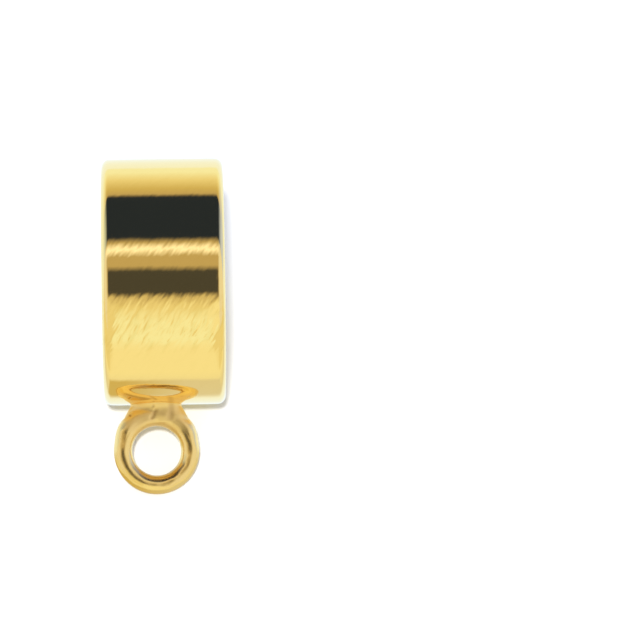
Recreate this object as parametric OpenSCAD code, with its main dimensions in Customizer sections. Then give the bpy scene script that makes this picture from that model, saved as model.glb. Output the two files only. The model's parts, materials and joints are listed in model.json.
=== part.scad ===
// Cord connector: a round band that slides over a thick cord, with a closed loop of wire
// soldered to its outside wall for a drop to hang from. Sizes are in millimetres.
// The origin is the middle of the bore, and the bore runs along X.
// The part lies as it comes to rest, on the band's outside wall and the tip of the loop.

/* [Band] */
// Outside diameter of the band
band_d = 12; // [9:0.1:16]
// Width of the band, along the cord
band_w = 5.9; // [4:0.1:10]
// Thickness of the band's wall
wall = 0.9; // [0.8:0.05:1.5]
// Radius of the inner and outer edges of both rims
rim_round = 0.36; // [0.1:0.02:0.38]

/* [Loop] */
// Thickness of the loop's wire
wire_d = 0.9; // [0.7:0.05:1.1]
// Inside diameter of the loop
eye_d = 2.4; // [2:0.1:3.5]
// Distance of the loop from the middle of the band's width
loop_off = 0.44; // [0:0.02:1]
// Turn of the loop about its own stem
loop_turn = 9; // [0:1:15]
// Gap between the wire and the band's wall, which the solder fills
gap = 0.15; // [0.02:0.01:0.25]

/* [Solder] */
// Length of the solder where it meets the band, along the cord
solder_l = 2.5; // [2:0.1:3]
// Thickness of the solder where it meets the band, across the loop
solder_t = 1.2; // [1.1:0.05:1.5]

/* [Hidden] */
$fn = 96;

gold = "gold";
band_r = band_d / 2;
bore_r = band_r - wall;
wire_r = wire_d / 2;
// Radius of the loop's centre line
loop_r = (eye_d + wire_d) / 2;
// Distance from the bore's axis to the middle of the loop
reach = band_r + gap + wire_r + loop_r;

// The part rests with the loop's stem this far below the horizontal. There the lowest point of the
// wire's centre line is one wire radius above the line on which the band stands. Squared, that
// gives a quadratic for the sine of the angle, and this is the smaller of its two answers.
drop = band_r - wire_r;
loop_r_flat = loop_r * cos(loop_turn);
loop_r_side = loop_r * sin(loop_turn);
square_term = reach * reach - loop_r_flat * loop_r_flat;
root_term = sqrt(drop * drop * reach * reach - square_term * (drop * drop - loop_r_side * loop_r_side));
rest_angle = asin((drop * reach - root_term) / square_term);

// The solder's ends run into the wire this far round from the top of the loop
merge_angle = 45;
merge_x = loop_r * sin(merge_angle);
merge_z = -reach + loop_r * cos(merge_angle);
// They start inside the wall, clear of the bore
solder_depth = 0.4 * wall;
solder_top = -(band_r - solder_depth);
// Keeps the solder's flat faces inside its round ends, and its thin ends inside the wire
inset = 0.02;

// Carries a size on from the band's surface into its wall, on the line from the wire
function in_wall(at_band, at_wire) =
    at_band + (at_band - at_wire) * solder_depth / (-band_r - merge_z);
end_r_wire = wire_r - inset;
end_r_top = in_wall(solder_t / 2, end_r_wire);
end_x_top = in_wall((solder_l - solder_t) / 2, merge_x);

// The wall cut through, at its distance from the bore's axis
module wall_section() {
    straight = band_w / 2 - rim_round;
    translate([bore_r, -straight]) square([wall, 2 * straight]);
    translate([bore_r + rim_round, -band_w / 2]) square([wall - 2 * rim_round, band_w]);
    for (end = [-straight, straight]) {
        translate([bore_r + rim_round, end]) circle(rim_round);
        translate([band_r - rim_round, end]) circle(rim_round);
    }
}

// The tube that the cord goes through
module band() {
    color(gold) rotate([0, 90, 0]) rotate_extrude() wall_section();
}

// The closed ring of wire below the band, in the plane through the bore's axis
module wire_loop() {
    color(gold)
        translate([0, 0, -reach])
        rotate([90, 0, 0])
        rotate_extrude()
        translate([loop_r, 0])
        circle(wire_r);
}

// One end of the solder: a slanted cone that thins out from the band into the wire
module solder_end(side) {
    run = merge_x - end_x_top;
    fall = solder_top - merge_z;
    translate([side * end_x_top, 0, solder_top])
        rotate([0, 180 - side * atan2(run, fall), 0])
        cylinder(h = norm([run, fall]), r1 = end_r_top, r2 = end_r_wire);
}

// The solder between the two ends, down to the wire's centre line
module solder_web() {
    top_y = end_r_top - inset;
    low_y = wire_r * 2 / 3;
    difference() {
        intersection() {
            rotate([90, 0, 0])
                linear_extrude(2 * solder_t, center = true)
                polygon([
                    [-end_x_top, solder_top], [end_x_top, solder_top],
                    [merge_x, merge_z], [-merge_x, merge_z]
                ]);
            rotate([90, 0, 90])
                linear_extrude(2 * solder_l, center = true)
                polygon([[-top_y, solder_top], [top_y, solder_top], [low_y, merge_z], [-low_y, merge_z]]);
        }
        translate([0, 0, -reach]) rotate([90, 0, 0]) cylinder(h = 3 * solder_t, r = loop_r, center = true);
    }
}

// The solder that joins the loop to the band
module solder_neck() {
    color(gold) {
        solder_web();
        for (side = [-1, 1]) solder_end(side);
    }
}

// Soldered metal is one solid
module band_and_loop() {
    rotate([rest_angle - 90, 0, 0]) {
        band();
        translate([-loop_off, 0, 0]) rotate([0, 0, loop_turn]) {
            wire_loop();
            solder_neck();
        }
    }
}

band_and_loop();
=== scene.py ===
# %% [markdown]
# # A cord connector in gold plate
#
# The object is a jewellery finding: a short polished tube that slides over a thick cord, with a
# small ring of wire soldered to its outside for a drop to hang from. It is brass under a thin coat
# of gold, so what makes it look real is its mirror finish, its rounded rims and its solder.
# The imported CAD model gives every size, and the cells below only dress it.

# %% Load the frame
import json
import math

import bmesh
import bpy
from mathutils import Matrix, Vector, noise


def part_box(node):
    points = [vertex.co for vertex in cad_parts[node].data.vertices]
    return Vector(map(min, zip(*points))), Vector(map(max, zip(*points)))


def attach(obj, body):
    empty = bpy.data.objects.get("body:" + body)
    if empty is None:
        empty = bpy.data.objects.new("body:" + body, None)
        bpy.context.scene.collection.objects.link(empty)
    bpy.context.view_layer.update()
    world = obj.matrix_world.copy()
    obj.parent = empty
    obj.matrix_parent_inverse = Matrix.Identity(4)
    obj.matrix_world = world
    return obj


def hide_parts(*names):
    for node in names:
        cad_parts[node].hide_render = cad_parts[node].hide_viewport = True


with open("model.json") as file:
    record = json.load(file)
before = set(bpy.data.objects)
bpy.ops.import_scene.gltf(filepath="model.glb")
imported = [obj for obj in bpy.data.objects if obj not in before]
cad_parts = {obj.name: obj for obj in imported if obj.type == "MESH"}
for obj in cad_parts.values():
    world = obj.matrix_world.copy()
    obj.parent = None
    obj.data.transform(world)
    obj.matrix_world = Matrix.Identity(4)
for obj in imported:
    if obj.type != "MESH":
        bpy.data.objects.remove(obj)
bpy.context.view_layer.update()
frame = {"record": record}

# %% [markdown]
# ## Sizes
#
# A small thing is easier to model in millimetres, and standing upright: the bore along X, the loop
# hanging down, and the camera looking along Y. All sizes come from the frame: the box gives the
# band, and the two places where things fasten, the bore and the eye, give the rest.

# %% Work out the sizes in millimetres
MM = 0.001
low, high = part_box("band_and_loop")
mounts = {mount["name"]: mount for mount in frame["record"]["mounts"]}
bore_size, eye_size = mounts["bore"]["dims"], mounts["eye"]["dims"]

band_w = (high.x - low.x) / MM
band_r = high.z / MM
bore_r = bore_size["r_mm"]
rim_round = (band_w - bore_size["length_mm"]) / 2
eye_r = eye_size["r_mm"]
wire_r = eye_size["length_mm"] / 2
loop_r = eye_r + wire_r

eye_pos = Vector(mounts["eye"]["pos_m"]) / MM
reach = math.hypot(eye_pos.y, eye_pos.z)
loop_turn = math.asin(mounts["eye"]["axis"][0])
wall = band_r - bore_r
print(f"band {2 * band_r:.2f} x {band_w:.2f}, wall {wall:.2f}, rims rounded {rim_round:.2f}")
loop_d = 2 * (loop_r + wire_r)
print(f"loop {loop_d:.2f} across, {reach:.2f} from the bore, turned {math.degrees(loop_turn):.1f}")

# %% [markdown]
# ## From upright to lying
#
# The part rests on the band's wall and the tip of the loop. One turn about the bore takes a shape
# from the upright space in which it is modelled to where it lies. A second matrix takes a shape
# from the loop's own space, with its origin in the middle of the eye, to the upright space.

# %% The two changes of space
lay_down = Matrix.Rotation(math.atan2(eye_pos.y, -eye_pos.z), 4, "X")
hang = Matrix.Translation((eye_pos.x, 0, -reach)) @ Matrix.Rotation(loop_turn, 4, "Z")

print(f"the loop points {math.degrees(math.atan2(-eye_pos.z, -eye_pos.y)):.1f} degrees down")

# %% [markdown]
# ## The camera
#
# The photograph was taken close up: the band looks a little wider at its middle, which is nearer,
# than at its top and bottom. The camera stands straight in front of the band, at the distance that
# gives this bulge. The loop's mirror image in the band shows that the loop points a few degrees
# toward the camera, so the picture has its own space, turned that much about the bore. The object
# is left of the picture's middle, so the camera is then panned and tilted past it, and rolled by
# the small angle that the object leans.

# %% Place the camera
PICTURE_PX = 640
BAND_TOP_PX, BAND_BOTTOM_PX = 158.7, 404.7
BAND_LEFT_PX, BAND_RIGHT_PX = 101.3, 225.5
LEAN = math.radians(0.8)
LOOP_TOWARD_CAMERA = math.radians(6)
CAMERA_DISTANCE = 230.0
SENSOR = 36.0

mm_per_px = 2 * band_r / (BAND_BOTTOM_PX - BAND_TOP_PX)
aim_right = (PICTURE_PX - BAND_LEFT_PX - BAND_RIGHT_PX) / 2 * mm_per_px
aim_up = (BAND_TOP_PX + BAND_BOTTOM_PX - PICTURE_PX) / 2 * mm_per_px
pan = math.atan(aim_right / CAMERA_DISTANCE)
tilt = math.atan(aim_up / CAMERA_DISTANCE)

camera_data = bpy.data.cameras.new("camera")
camera_data.sensor_width = SENSOR
camera_data.lens = SENSOR * CAMERA_DISTANCE / (PICTURE_PX * mm_per_px)
camera = bpy.data.objects.new("camera", camera_data)
bpy.context.scene.collection.objects.link(camera)
bpy.context.scene.camera = camera

picture_space = lay_down @ Matrix.Rotation(LOOP_TOWARD_CAMERA, 4, "X")
toward_camera = picture_space @ Vector((0, -1, 0))
facing = picture_space @ Matrix.Rotation(math.radians(90), 4, "X") @ Matrix.Rotation(-LEAN, 4, "Z")
stand = facing @ Vector((0, 0, CAMERA_DISTANCE * MM))
look = facing @ Matrix.Rotation(-pan, 4, "Y") @ Matrix.Rotation(tilt, 4, "X")
camera.matrix_world = Matrix.Translation(stand) @ look
camera_data.clip_start, camera_data.clip_end = 0.01, 10
print(f"{mm_per_px:.4f} mm a pixel, lens {camera_data.lens:.0f} mm")
print(f"the camera is {math.degrees(math.asin(toward_camera.z)):.1f} degrees above the floor")

# %% [markdown]
# ## The band
#
# The real band is cut from drawn tube, and tumbling has rounded its rims. A lathe shape like this
# could be a cylinder with its edges bevelled, but a spun section keeps the rims evenly round and
# lets each part of the section have the number of points it needs. The section is one face whose
# corners are bevelled. Tumbling has also worn the outside down toward the rims, by up to a few
# hundredths of a millimetre, which a mirror finish shows. The section is spun into a closed ring.

# %% Helpers that turn a bmesh into an object
def link_piece(name, bm):
    """Makes an object from a bmesh and frees the bmesh."""
    mesh = bpy.data.meshes.new(name)
    bm.to_mesh(mesh)
    bm.free()
    piece = bpy.data.objects.new(name, mesh)
    bpy.context.scene.collection.objects.link(piece)
    return piece


def apply_modifiers(piece):
    """Replaces the piece's mesh by the one that its modifiers make."""
    depsgraph = bpy.context.evaluated_depsgraph_get()
    shaped = bpy.data.meshes.new_from_object(piece.evaluated_get(depsgraph))
    piece.modifiers.clear()
    piece.data = shaped


def full_turn(bm, axis, steps):
    """Spins all that the bmesh holds round the origin, and points the new faces outwards."""
    bmesh.ops.spin(bm, geom=bm.verts[:] + bm.edges[:], cent=(0, 0, 0), axis=axis,
                   angle=2 * math.pi, steps=steps, use_merge=True)
    bmesh.ops.recalc_face_normals(bm, faces=bm.faces)


# %% Spin the band
BAND_STEPS = 320
RIM_SEGMENTS = 12
WALL_CUTS = 16
WORN_WIDTH, WORN_DEPTH = 0.85, 0.037

bm = bmesh.new()
half_w = band_w / 2
corners = [bm.verts.new((x, 0, z)) for x, z in
           ((-half_w, bore_r), (half_w, bore_r), (half_w, band_r), (-half_w, band_r))]
bm.faces.new(corners)
bmesh.ops.bevel(bm, geom=corners, offset=rim_round, segments=RIM_SEGMENTS, profile=0.5,
                affect="VERTICES", material=-1)
bmesh.ops.delete(bm, geom=bm.faces[:], context="FACES_ONLY")
long_edges = [edge for edge in bm.edges if edge.calc_length() > band_w / 2]
bmesh.ops.subdivide_edges(bm, edges=long_edges, cuts=WALL_CUTS)
for vert in bm.verts:
    worn = max(0.0, 1 - (half_w - abs(vert.co.x)) / WORN_WIDTH)
    if vert.co.z > (bore_r + band_r) / 2:
        vert.co.z -= WORN_DEPTH * worn ** 2
full_turn(bm, (1, 0, 0), BAND_STEPS)
band = link_piece("band", bm)
print("the band has", len(band.data.polygons), "faces")

# %% [markdown]
# ## The loop of wire
#
# The loop is round wire bent into a closed ring. Near the band, solder has crept down the outside
# of the wire and made it a little fatter. The ring is a circle spun round the middle of the eye,
# and one small function says where the wire's surface lies, so that it can be found again later.

# %% Spin the loop
LOOP_STEPS = 192
WIRE_SEGMENTS = 48
CREEP = 0.14
CREEP_FULL, CREEP_END = math.radians(50), math.radians(82)


def ease(value, start, end):
    """0 before start and 1 after end, with a smooth rise between."""
    share = min(1.0, max(0.0, (value - start) / (end - start)))
    return share * share * (3 - 2 * share)


def angle_from_top(point):
    """How far round the loop a point in the loop's space lies, from its top."""
    return math.atan2(abs(point.x), point.z)


def on_wire(point):
    """The point of the wire's surface that lies nearest to a point in the loop's space."""
    outwards = Vector((point.x, 0, point.z)).normalized()
    middle = outwards * loop_r
    away = (point - middle).normalized()
    creep = CREEP * (1 - ease(angle_from_top(point), CREEP_FULL, CREEP_END))
    return middle + away * (wire_r + creep * max(0.0, away.dot(outwards)))


bm = bmesh.new()
bmesh.ops.create_circle(bm, segments=WIRE_SEGMENTS, radius=wire_r,
                        matrix=Matrix.Translation((loop_r, 0, 0)))
full_turn(bm, (0, 1, 0), LOOP_STEPS)
for vert in bm.verts:
    vert.co = on_wire(vert.co)
loop = link_piece("loop", bm)
print("the loop has", len(loop.data.polygons), "faces")

# %% [markdown]
# ## The solder
#
# Solder wets both surfaces: it flares out where it meets the band, narrows, and widens again over
# the wire. The neck starts as an oval that is extruded row by row, from inside the band's wall to
# inside the wire. A table gives each row's height above the middle of the eye and its half width
# and half thickness, because this shape follows no simple rule. The neck lies square to the band,
# so in the loop's own space it is turned back by the loop's turn.

# %% Extrude the neck of solder
NECK_SEGMENTS = 64
band_z = reach - band_r
NECK_ROWS = (
    # height, half width, half thickness
    (band_z + 0.35, 1.32, 0.72),
    (band_z + 0.02, 1.30, 0.70),
    (band_z - 0.05, 1.22, 0.62),
    (band_z - 0.17, 1.29, 0.555),
    (band_z - 0.34, 1.40, 0.50),
    (band_z - 0.57, 1.53, 0.455),
    (band_z - 0.90, 1.60, 0.36),
)

bm = bmesh.new()
height, half_width, half_thick = NECK_ROWS[0]
row = bmesh.ops.create_circle(bm, cap_ends=True, segments=NECK_SEGMENTS, radius=1.0)["verts"]
bmesh.ops.scale(bm, vec=(half_width, half_thick, 1), verts=row)
bmesh.ops.translate(bm, vec=(0, 0, height), verts=row)
end_face = bm.faces[:]
for next_height, next_width, next_thick in NECK_ROWS[1:]:
    made = bmesh.ops.extrude_face_region(bm, geom=end_face)["geom"]
    row = [part for part in made if isinstance(part, bmesh.types.BMVert)]
    end_face = [part for part in made if isinstance(part, bmesh.types.BMFace)]
    bmesh.ops.scale(bm, vec=(next_width / half_width, next_thick / half_thick, 1), verts=row)
    bmesh.ops.translate(bm, vec=(0, 0, next_height - height), verts=row)
    height, half_width, half_thick = next_height, next_width, next_thick
bmesh.ops.recalc_face_normals(bm, faces=bm.faces)
bmesh.ops.rotate(bm, verts=bm.verts, matrix=Matrix.Rotation(-loop_turn, 3, "Z"))
neck = link_piece("neck", bm)
print("the neck has", len(neck.data.polygons), "faces")

# %% [markdown]
# ## Fuse the loop and the solder
#
# Molten solder has no inner corners, so the neck and the wire have to flow into each other. The two
# are put in one mesh, a voxel remesh makes one skin round both, and smoothing rounds the corners
# where they met. It also leaves tiny steps that a mirror finish would show, so each point of the
# bare wire is then put back on the exact surface of the wire.

# %% Remesh and smooth
VOXEL = 0.028
SMOOTH_PASSES, SMOOTH_FACTOR = 10, 0.5
WIRE_FROM, WIRE_FULL = math.radians(50), math.radians(64)

bm = bmesh.new()
bm.from_mesh(loop.data)
bm.from_mesh(neck.data)
bm.to_mesh(loop.data)
bm.free()
fuse = loop.modifiers.new("Fuse", "REMESH")
fuse.mode, fuse.voxel_size = "VOXEL", VOXEL
apply_modifiers(loop)
bpy.data.objects.remove(neck)

bm = bmesh.new()
bm.from_mesh(loop.data)
soldered = [vert for vert in bm.verts if angle_from_top(vert.co) < WIRE_FULL]
for _ in range(SMOOTH_PASSES):
    bmesh.ops.smooth_vert(bm, verts=soldered, factor=SMOOTH_FACTOR,
                          use_axis_x=True, use_axis_y=True, use_axis_z=True)
for vert in bm.verts:
    share = ease(angle_from_top(vert.co), WIRE_FROM, WIRE_FULL)
    if share > 0:
        vert.co = vert.co.lerp(on_wire(vert.co), share)
print("the loop and its solder have", len(bm.faces), "faces")

# %% [markdown]
# ## Lumps, creases and pits
#
# Solder never sets quite smooth. Noise moves the skin in and out by up to two hundredths of a
# millimetre. The two ends of the wire meet under the solder, which leaves a crease down the front
# and the back with a softer one beside it, and gas has left a few pits. The solder thins out into
# bare wire along a ragged edge, which a little noise added to the angle round the loop gives.

# %% Where the solder is
SOLDER_FROM, SOLDER_TO = math.radians(42), math.radians(66)
RAGGED, RAGGED_SCALE = 0.12, 3.0


def solder_share(point):
    """How much a point in the loop's space belongs to the solder: 1 at the neck, 0 on bare wire."""
    ragged = RAGGED * noise.noise(point * RAGGED_SCALE)
    return 1 - ease(angle_from_top(point) + ragged, SOLDER_FROM, SOLDER_TO)


# %% Where its creases and pits are
CREASES = (
    # across and height of the upper end, across and height of the lower end, width, depth
    (-0.10, 1.95, -0.26, 1.62, 0.16, 0.020),
    (0.66, 2.18, 0.62, 1.62, 0.26, 0.018),
)
PITS = (
    # across, height, radius, depth
    (-0.30, 1.58, 0.130, 0.026),
    (-0.22, 2.15, 0.110, 0.016),
    (0.62, 2.16, 0.130, 0.020),
    (-1.32, 1.70, 0.110, 0.040),
)


def distance_to_line(point, start, end):
    """How far a point lies from a straight piece of line, both seen from the front."""
    spot = Vector((point.x, point.z))
    run = end - start
    share = min(1.0, max(0.0, (spot - start).dot(run) / run.length_squared))
    return (spot - start - share * run).length


def groove_depth(point):
    """How deep the creases and pits are at a point in the loop's space, seen from the front."""
    found = 0.0
    for top_x, top_z, low_x, low_z, width, depth in CREASES:
        away = distance_to_line(point, Vector((top_x, top_z)), Vector((low_x, low_z)))
        found = max(found, depth * (1 - ease(away, 0, width)))
    for across, height, radius, depth in PITS:
        away = math.hypot(point.x - across, point.z - height)
        found = max(found, depth * (1 - ease(away, 0, radius)))
    return found


# %% Shape the solder's skin
LUMP, LUMP_SIZE = 0.018, 0.50

bm.normal_update()
shifts = []
for vert in bm.verts:
    point = vert.co
    share = solder_share(point)
    if share == 0:
        continue
    shift = LUMP * noise.noise(point / LUMP_SIZE) - abs(vert.normal.y) * groove_depth(point)
    shifts.append((vert, share * shift))
for vert, shift in shifts:
    vert.co += vert.normal * shift
bm.to_mesh(loop.data)
bm.free()
print(len(shifts), "points of solder were moved")

# %% [markdown]
# ## One body
#
# A soldered joint makes the band and the loop one piece of metal. They could stay two meshes that
# cross, but the stray faces inside would go into the exported model. So the loop is hung below the
# band, and a boolean union joins the two skins into one.

# %% Join the loop to the band
loop.data.transform(hang)
weld = band.modifiers.new("Weld", "BOOLEAN")
weld.operation, weld.solver, weld.object = "UNION", "MANIFOLD", loop
apply_modifiers(band)
bpy.data.objects.remove(loop)
connector = band
connector.name = connector.data.name = "connector"
print("the connector has", len(connector.data.polygons), "faces")

# %% [markdown]
# ## Marks for the finish
#
# The loop and the solder are less polished than the band. The creases and pits get painted shade,
# darker where they are deeper, and the lower inside of the eye gets a painted dark reflection. The
# material can't know where these are, so each point of the mesh gets three numbers that it can read
# as attributes.

# %% Mark the loop, the solder and the painted shade
BAND_SKIN = 0.004
# The groove depth at which the painted shade in creases and pits is full
SHADE_FULL_DEPTH = 0.035
# Painted reflection: how strong the dark tone on the lower inside of the eye is, and where round
# the loop it lies
DARK_REFLECTION = 0.85
DARK_REFLECTION_FROM, DARK_REFLECTION_TO = math.radians(100), math.radians(145)
INWARD_FROM, INWARD_TO = 0.05, 0.50


def dark_reflection_share(point):
    """How much painted dark reflection a point of the lower inside of the eye gets."""
    outwards = Vector((point.x, 0, point.z)).normalized()
    inward = -(point - outwards * loop_r).dot(outwards) / wire_r
    lowness = ease(angle_from_top(point), DARK_REFLECTION_FROM, DARK_REFLECTION_TO)
    return lowness * ease(inward, INWARD_FROM, INWARD_TO)


to_loop = hang.inverted()
on_loop = connector.data.attributes.new("on_loop", "FLOAT", "POINT")
on_solder = connector.data.attributes.new("on_solder", "FLOAT", "POINT")
stained = connector.data.attributes.new("stained", "FLOAT", "POINT")
for number, vert in enumerate(connector.data.vertices):
    if vert.co.z < 0 and math.hypot(vert.co.y, vert.co.z) > band_r + BAND_SKIN:
        on_loop.data[number].value = 1.0
        point = to_loop @ vert.co
        on_solder.data[number].value = solder_share(point)
        # Painted shade: creases and pits are darker where deeper, and the lower inside of the eye
        # gets a painted dark reflection
        crease_shade = solder_share(point) * groove_depth(point) / SHADE_FULL_DEPTH
        stained.data[number].value = max(crease_shade, DARK_REFLECTION * dark_reflection_share(point))
marked = sum(item.value > 0 for item in on_loop.data)
print(marked, "of", len(on_loop.data), "points are on the loop")

# %% Lay the connector down, in metres
connector.data.transform(Matrix.Scale(MM, 4) @ lay_down)
connector.data.shade_smooth()
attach(connector, "root")
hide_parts("band_and_loop")

bm = bmesh.new()
bm.from_mesh(connector.data)
open_edges = sum(not edge.is_manifold for edge in bm.edges)
print(f"{len(bm.faces)} faces, {open_edges} open edges, {bm.calc_volume() / MM ** 3:.1f} mm3")
bm.free()

# %% [markdown]
# ## The finish
#
# Polished gold plate is a metal with hardly any roughness. What tells it from a perfect mirror is
# faint: the wheel has left short slanted strokes on the band, clearest in two scuffed strips, and
# the surface waves by a fraction of a degree. The loop was tumbled and never wheeled, so it is a
# little rougher and less even than the band, and the solder more so. Scratches could be a picture
# wrapped round the band, but noise needs no picture and stays sharp close up. The strokes are noise
# stretched in the band's own directions, along the bore and round it, and used as a bump.

# %% Helpers for nodes
def add_node(tree, kind, inputs=(), **settings):
    """Adds a node, sets it, and gives each named input its value or links it to a socket."""
    node = tree.nodes.new(kind)
    for name, value in settings.items():
        setattr(node, name, value)
    for name, value in dict(inputs).items():
        socket = node.inputs[name]
        if isinstance(value, bpy.types.NodeSocket):
            tree.links.new(value, socket)
        else:
            socket.default_value = value
    return node


def math_node(tree, operation, *values):
    """A Math node's result, for up to three numbers or sockets."""
    node = add_node(tree, "ShaderNodeMath", enumerate(values), operation=operation)
    return node.outputs["Value"]


def mix_colours(tree, share, first, second):
    """The first colour where share is 0, the second where it is 1."""
    node = tree.nodes.new("ShaderNodeMix")
    node.data_type = "RGBA"
    factor = node.inputs[0]
    sockets = [socket for socket in node.inputs if socket.type == "RGBA"]
    for socket, value in zip([factor] + sockets, (share, first, second)):
        if isinstance(value, bpy.types.NodeSocket):
            tree.links.new(value, socket)
        else:
            socket.default_value = value
    return next(socket for socket in node.outputs if socket.type == "RGBA")


def ramp_node(tree, value, start, end, low=0.0, high=1.0):
    """low where a value is at start or before, high at end or after, and even between."""
    node = add_node(tree, "ShaderNodeMapRange", {
        "Value": value, "From Min": start, "From Max": end, "To Min": low, "To Max": high})
    return node.outputs["Result"]


def within(tree, value, start, end, edge):
    """1 where a value lies between start and end, with soft edges, and 0 elsewhere."""
    rise = ramp_node(tree, value, start - edge / 2, start + edge / 2)
    fall = ramp_node(tree, value, end - edge / 2, end + edge / 2, 1.0, 0.0)
    return math_node(tree, "MULTIPLY", rise, fall)


def tone_ramp(tree, value, tones):
    """The colour that a table of values and colours gives, blended between its rows."""
    first, last = tones[0][0], tones[-1][0]
    ramp = add_node(tree, "ShaderNodeValToRGB", {"Fac": ramp_node(tree, value, first, last)})
    stops = ramp.color_ramp.elements
    stops.remove(stops[1])
    for number, (tone_value, colour) in enumerate(tones):
        place = (tone_value - first) / (last - first)
        stop = stops.new(place) if number else stops[0]
        stop.position = place
        stop.color = (*colour, 1.0)
    return ramp.outputs["Color"]


# %% Gold plate: the patterns
WAVE_SCALE, WAVE_DETAIL, WAVE_DEPTH = 0.6, 1.0, 0.008

gold = bpy.data.materials.new("gold plate")
gold.use_nodes = True
tree = gold.node_tree
shader = tree.nodes["Principled BSDF"]
shader.inputs["Metallic"].default_value = 1.0

in_metres = add_node(tree, "ShaderNodeTexCoord").outputs["Object"]
place = add_node(tree, "ShaderNodeMapping", {
    "Vector": in_metres, "Scale": (1 / MM, 1 / MM, 1 / MM)}).outputs["Vector"]
axes = add_node(tree, "ShaderNodeSeparateXYZ", {"Vector": place}).outputs
angle = math_node(tree, "ARCTAN2", axes["Y"], axes["Z"])
around = math_node(tree, "MULTIPLY", angle, band_r)
surface = add_node(tree, "ShaderNodeCombineXYZ", {"X": axes["X"], "Y": around}).outputs["Vector"]
loop_mask = add_node(tree, "ShaderNodeAttribute", attribute_name="on_loop").outputs["Fac"]
solder_mask = add_node(tree, "ShaderNodeAttribute", attribute_name="on_solder").outputs["Fac"]

waves = add_node(tree, "ShaderNodeTexNoise", {
    "Vector": place, "Scale": WAVE_SCALE, "Detail": WAVE_DETAIL})
waved = add_node(tree, "ShaderNodeBump", {
    "Height": waves.outputs["Fac"], "Distance": WAVE_DEPTH * MM})
print("the gold has", len(tree.nodes), "nodes so far")

# %% [markdown]
# The scuffed strips lie on the front of the band, and stay there from whichever side it is seen.
# Their strength rises and falls over a few degrees, and the strokes fade out on the loop and
# inside the bore. A Mapping node of the Texture type turns its input and then divides it by its
# scale, so that scale is the size of one stroke.

# %% Gold plate: how strong the strokes are
SCUFFS = (
    # from and to in degrees round the bore, up from the middle of the front, and strength
    (-34, -7, 0.85),
    (12, 17, 0.40),
)
SCUFF_EDGE = 5.0
PLAIN_STRENGTH = 0.12

front_angle = math.atan2(toward_camera.y, toward_camera.z)
from_front = math_node(tree, "SUBTRACT", angle, front_angle)
degrees = math_node(tree, "MULTIPLY", from_front, math.degrees(1))
strength = PLAIN_STRENGTH
for start, end, scuff_strength in SCUFFS:
    scuff = within(tree, degrees, start, end, SCUFF_EDGE)
    strength = math_node(tree, "MULTIPLY_ADD", scuff, scuff_strength, strength)
squared_y = math_node(tree, "MULTIPLY", axes["Y"], axes["Y"])
squared_z = math_node(tree, "MULTIPLY", axes["Z"], axes["Z"])
distance = math_node(tree, "SQRT", math_node(tree, "ADD", squared_y, squared_z))
outside = ramp_node(tree, distance, bore_r + rim_round, band_r - rim_round)
bare_band = math_node(tree, "SUBTRACT", outside, loop_mask)
strength = math_node(tree, "MULTIPLY", strength, bare_band)
print(f"the middle of the front is {-math.degrees(front_angle):.1f} degrees down from the top")

# %% Gold plate: strokes and dents
STROKE_SLANT = math.radians(-30)
STROKE_SIZE = (0.28, 0.90, 1.0)
STROKE_DETAIL, STROKE_DEPTH = 1.0, 0.022
DENT_SCALE, DENT_DETAIL, DENT_DEPTH = 1.6, 0.5, 0.060

strokes_at = add_node(tree, "ShaderNodeMapping", {
    "Vector": surface, "Rotation": (0, 0, STROKE_SLANT), "Scale": STROKE_SIZE},
    vector_type="TEXTURE")
strokes = add_node(tree, "ShaderNodeTexNoise", {
    "Vector": strokes_at.outputs["Vector"], "Scale": 1.0, "Detail": STROKE_DETAIL})
stroked = add_node(tree, "ShaderNodeBump", {
    "Height": strokes.outputs["Fac"], "Distance": STROKE_DEPTH * MM,
    "Strength": strength, "Normal": waved.outputs["Normal"]})

dents = add_node(tree, "ShaderNodeTexNoise", {
    "Vector": place, "Scale": DENT_SCALE, "Detail": DENT_DETAIL})
dented = add_node(tree, "ShaderNodeBump", {
    "Height": dents.outputs["Fac"], "Distance": DENT_DEPTH * MM,
    "Strength": loop_mask, "Normal": stroked.outputs["Normal"]})
tree.links.new(dented.outputs["Normal"], shader.inputs["Normal"])

# %% Gold plate: colour and roughness
GOLD = (1.0, 0.766, 0.336, 1.0)
SCUFFED_GOLD = (0.93, 0.70, 0.28, 1.0)
LOOP_GOLD = (1.0, 0.735, 0.30, 1.0)
SOLDER_GOLD = (1.0, 0.735, 0.325, 1.0)
# The dark tone of the painted shade and the painted dark reflection
PAINTED_SHADE_TONE = (0.62, 0.40, 0.17, 1.0)
BAND_ROUGH, LOOP_ROUGH, SOLDER_ROUGH = 0.06, 0.23, 0.44
DEEP_FROM, DEEP_TO = 0.50, 0.75

deep_stroke = ramp_node(tree, strokes.outputs["Fac"], DEEP_FROM, DEEP_TO)
scuffed = math_node(tree, "MULTIPLY", deep_stroke, strength)
colour = mix_colours(tree, scuffed, GOLD, SCUFFED_GOLD)
colour = mix_colours(tree, loop_mask, colour, LOOP_GOLD)
colour = mix_colours(tree, solder_mask, colour, SOLDER_GOLD)
# Painted shade and painted reflection: the dark tone is mixed in where the mesh is marked
painted_shade_mask = add_node(tree, "ShaderNodeAttribute", attribute_name="stained").outputs["Fac"]
tree.links.new(mix_colours(tree, painted_shade_mask, colour, PAINTED_SHADE_TONE), shader.inputs["Base Color"])
rough = ramp_node(tree, loop_mask, 0.0, 1.0, BAND_ROUGH, LOOP_ROUGH)
rough = math_node(tree, "MULTIPLY_ADD", solder_mask, SOLDER_ROUGH - LOOP_ROUGH, rough)
tree.links.new(rough, shader.inputs["Roughness"])
connector.data.materials.clear()
connector.data.materials.append(gold)
print("the gold has", len(gold.node_tree.nodes), "nodes")

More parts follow.
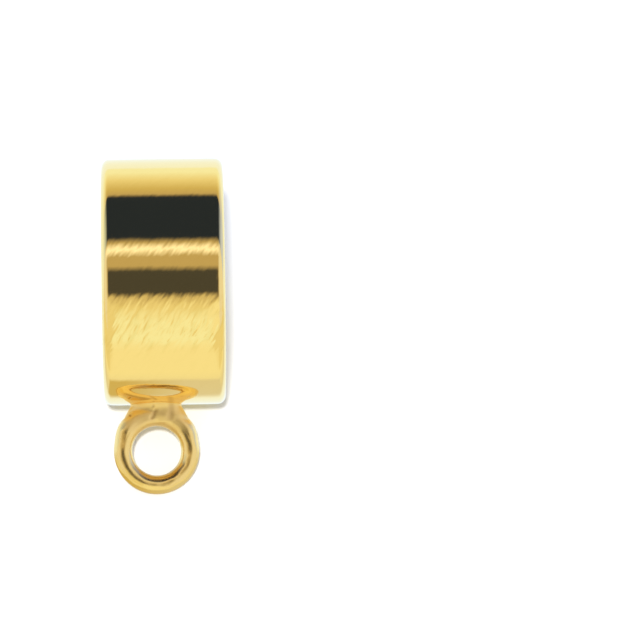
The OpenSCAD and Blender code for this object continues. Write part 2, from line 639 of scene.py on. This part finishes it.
# %% [markdown]
# ## The tones that the gold mirrors
#
# Polished gold shows what stands round it, tinted yellow, so its surroundings have to be right. A
# whole studio could be built, but the band squeezes it into a few stripes, and a handful of plain
# tones is enough for them. Each is the tone of something in the studio before the gold tints it,
# and two tones blend where they meet softly. A number over 1 is brighter than the picture's white.

# %% Name the tones
WHITE = (0.95, 1.05, 0.90)
COOL_WHITE = (0.95, 1.10, 1.25)
DEEP_BLUE = (0.60, 0.75, 1.30)
GREY = (0.85, 0.85, 0.80)
SHADED_PAPER = (0.75, 0.75, 0.65)
CREAM = (0.95, 0.95, 0.70)
OCHRE = (0.85, 0.80, 0.50)
TAN = (0.65, 0.55, 0.25)
BROWN = (0.55, 0.45, 0.25)
LAMP = (1.25, 1.25, 1.20)
BLACK_CARD = (0.02, 0.03, 0.06)
CAMERA_FRONT = (0.07, 0.07, 0.07)
print(f"the lamp is {sum(LAMP) / sum(WHITE):.2f} times as bright as the white walls")

# %% [markdown]
# ## The floor
#
# The object lies on plain white paper. The paper has no gloss, so that it stays even and takes only
# the soft shadows that show where the object touches it. The camera sees it overexposed, as a pure
# white. The gold mirrors a warmer paper, brightest right under the band and with a strip of painted
# shade in front of it. Those tones are painted on as a glow that only glossy rays meet: a row of
# tones from front to back, duller ones to both sides in front, and the strip, which is brown on its
# left.

# %% Describe the floor
FLOOR_HALF = 1.5
PAPER = (0.90, 0.90, 0.90, 1.0)
BLACK = (0.0, 0.0, 0.0, 1.0)
MIRRORED_PAPER = (
    # distance behind the bore's axis in millimetres, and the paper's tone there
    (-90, WHITE),
    (-30, CREAM),
    (-12, CREAM),
    (-6.4, SHADED_PAPER),
    (-5.5, COOL_WHITE),
    (130, COOL_WHITE),
    (290, WHITE),
)
# The tone to both sides, how far from the middle it starts and is full, and how it is slanted
MIRRORED_SIDE = (*OCHRE, 1.0)
SIDE_START, SIDE_FULL, SIDE_SLANT = 2.6, 4.4, 0.06
# It is full in front of the first of these places and ends at the second
FRONT_FULL, FRONT_END = -14.0, -12.0
# The strip's tones, where one turns into the other, and its place, half length and softness
STRIP_LEFT, STRIP_RIGHT = (*TAN, 1.0), (*SHADED_PAPER, 1.0)
STRIP_TURN_START, STRIP_TURN_END = -2.0, 1.0
STRIP_FAR, STRIP_NEAR = -10.1, -6.1
STRIP_HALF, STRIP_EDGE = 4.5, 0.8
print("the paper has", len(MIRRORED_PAPER), "tones from front to back")

# %% Lay the floor
bm = bmesh.new()
bmesh.ops.create_grid(bm, x_segments=1, y_segments=1, size=FLOOR_HALF)
bmesh.ops.translate(bm, vec=(0, 0, low.z), verts=bm.verts[:])
floor = link_piece("floor", bm)
print(f"the floor lies {-low.z / MM:.1f} mm below the bore's axis")

# %% Paint what the gold sees of the paper
paper = bpy.data.materials.new("white paper")
paper.use_nodes = True
tree = paper.node_tree
shader = tree.nodes["Principled BSDF"]
shader.inputs["Roughness"].default_value = 1.0
shader.inputs["Specular IOR Level"].default_value = 0.0

in_metres = add_node(tree, "ShaderNodeTexCoord").outputs["Object"]
place = add_node(tree, "ShaderNodeMapping", {
    "Vector": in_metres, "Scale": (1 / MM, 1 / MM, 1 / MM)}).outputs["Vector"]
axes = add_node(tree, "ShaderNodeSeparateXYZ", {"Vector": place}).outputs
sideways = math_node(tree, "ABSOLUTE", axes["X"])
slanted = math_node(tree, "MULTIPLY_ADD", axes["Y"], SIDE_SLANT, sideways)
beside = ramp_node(tree, slanted, SIDE_START, SIDE_FULL)
in_front = ramp_node(tree, axes["Y"], FRONT_FULL, FRONT_END, 1.0, 0.0)
beside = math_node(tree, "MULTIPLY", beside, in_front)
middle = tone_ramp(tree, axes["Y"], MIRRORED_PAPER)
mirrored = mix_colours(tree, beside, middle, MIRRORED_SIDE)
# The strip of painted shade in front of the band, brown on its left
from_left = ramp_node(tree, axes["X"], STRIP_TURN_START, STRIP_TURN_END)
strip = mix_colours(tree, from_left, STRIP_LEFT, STRIP_RIGHT)
on_strip = within(tree, axes["Y"], STRIP_FAR, STRIP_NEAR, STRIP_EDGE)
below_band = within(tree, axes["X"], -STRIP_HALF, STRIP_HALF, STRIP_EDGE)
on_strip = math_node(tree, "MULTIPLY", on_strip, below_band)
mirrored = mix_colours(tree, on_strip, mirrored, strip)
glossy = add_node(tree, "ShaderNodeLightPath").outputs["Is Glossy Ray"]
tree.links.new(mix_colours(tree, glossy, PAPER, BLACK), shader.inputs["Base Color"])
tree.links.new(mirrored, shader.inputs["Emission Color"])
tree.links.new(glossy, shader.inputs["Emission Strength"])
floor.data.materials.append(paper)
print("the paper has", len(tree.nodes), "nodes")

# %% [markdown]
# ## The room
#
# A mirror shows its surroundings, so the light is drawn as what the gold should reflect. The
# photograph's stripes run straight along the tube: they are a white room, a lamp, a black card
# above the camera and the dark front of the camera itself. The world stands for that room. A ramp
# round the bore gives the stripes, and a table of cards covers parts of them, such as the side
# walls that the rims see. Only gloss sees all this: the floor and the camera see plain white.

# %% Describe the room
WALLS = (
    # degrees round the bore, from the camera toward the picture's top, and the tone there
    (-180, WHITE),
    (-37, WHITE),
    (-23, OCHRE),
    (-10, BROWN),
    (24, BROWN),
    (30.5, LAMP),
    (36.5, BROWN),
    (41.5, BLACK_CARD),
    (86.5, BLACK_CARD),
    (90, BROWN),
    (97, TAN),
    (110, OCHRE),
    (124, WHITE),
    (180, WHITE),
)
CARDS = (
    # name, from and to in degrees round the bore, from and to sideways, softness of each, tone
    ("camera front", -12.3, 12.3, -0.38, 0.26, 5.0, 0.24, CAMERA_FRONT),
    ("warm left", -90.0, -20.0, -2.00, -0.06, 6.0, 0.10, OCHRE),
    ("warm right", -90.0, -20.0, 0.06, 2.00, 6.0, 0.10, CREAM),
    ("low left wall", -200.0, 39.0, -2.00, -0.60, 4.0, 0.34, GREY),
    ("low right wall", -200.0, 39.0, 0.38, 2.00, 4.0, 0.30, GREY),
    ("high left wall", 39.0, 200.0, -2.00, -0.70, 4.0, 0.70, COOL_WHITE),
    ("high right wall", 39.0, 200.0, 0.66, 2.00, 4.0, 0.45, DEEP_BLUE),
)
ROOM_WHITE = (0.67, 0.70, 0.77, 1.0)
BACKDROP = (1.0, 1.0, 1.0, 1.0)
print("the room's walls have", len(WALLS), "tones")

# %% Paint the room
room = bpy.data.worlds.new("room")
room.use_nodes = True
bpy.context.scene.world = room
tree = room.node_tree
background = tree.nodes["Background"]

direction = add_node(tree, "ShaderNodeTexCoord").outputs["Generated"]
upright = add_node(tree, "ShaderNodeMapping", {
    "Vector": direction, "Rotation": picture_space.inverted().to_euler()}, vector_type="VECTOR")
axes = add_node(tree, "ShaderNodeSeparateXYZ", {"Vector": upright.outputs["Vector"]}).outputs
toward = math_node(tree, "MULTIPLY", axes["Y"], -1.0)
radians_round = math_node(tree, "ARCTAN2", axes["Z"], toward)
degrees_round = math_node(tree, "MULTIPLY", radians_round, math.degrees(1))

seen = tone_ramp(tree, degrees_round, WALLS)
for name, start, end, side_start, side_end, edge, side_edge, colour in CARDS:
    across = within(tree, degrees_round, start, end, edge)
    beside = within(tree, axes["X"], side_start, side_end, side_edge)
    share = math_node(tree, "MULTIPLY", across, beside)
    seen = mix_colours(tree, share, seen, (*colour, 1.0))
    print("hung the", name)

rays = add_node(tree, "ShaderNodeLightPath").outputs
plain = mix_colours(tree, rays["Is Camera Ray"], ROOM_WHITE, BACKDROP)
seen = mix_colours(tree, rays["Is Glossy Ray"], plain, seen)
tree.links.new(seen, background.inputs["Color"])

# %% [markdown]
# ## The key light
#
# The photograph's shadows are thin and soft and lie to the right and below, so the light stands
# close to the camera, a little above it and to its left. A sun lamp gives such a shadow with two
# values, its direction and its angle. It lights only the paper: the gold already has its room.

# %% Place the key light
KEY_SIDE, KEY_UP = math.radians(2.0), math.radians(6.2)
KEY_ANGLE = math.radians(3.5)
KEY_POWER = 2.6

key_data = bpy.data.lights.new("key", "SUN")
key_data.energy = KEY_POWER
key_data.angle = KEY_ANGLE
key = bpy.data.objects.new("key", key_data)
key.matrix_world = facing @ Matrix.Rotation(-KEY_SIDE, 4, "Y") @ Matrix.Rotation(-KEY_UP, 4, "X")
key.visible_glossy = False
bpy.context.scene.collection.objects.link(key)
to_key = key.matrix_world.to_3x3() @ Vector((0, 0, 1))
print(f"the key light stands {math.degrees(math.asin(to_key.z)):.1f} degrees above the floor")

# %% Colour management
bpy.context.scene.view_settings.view_transform = "Standard"
print("colours are shown by the", bpy.context.scene.view_settings.view_transform, "transform")
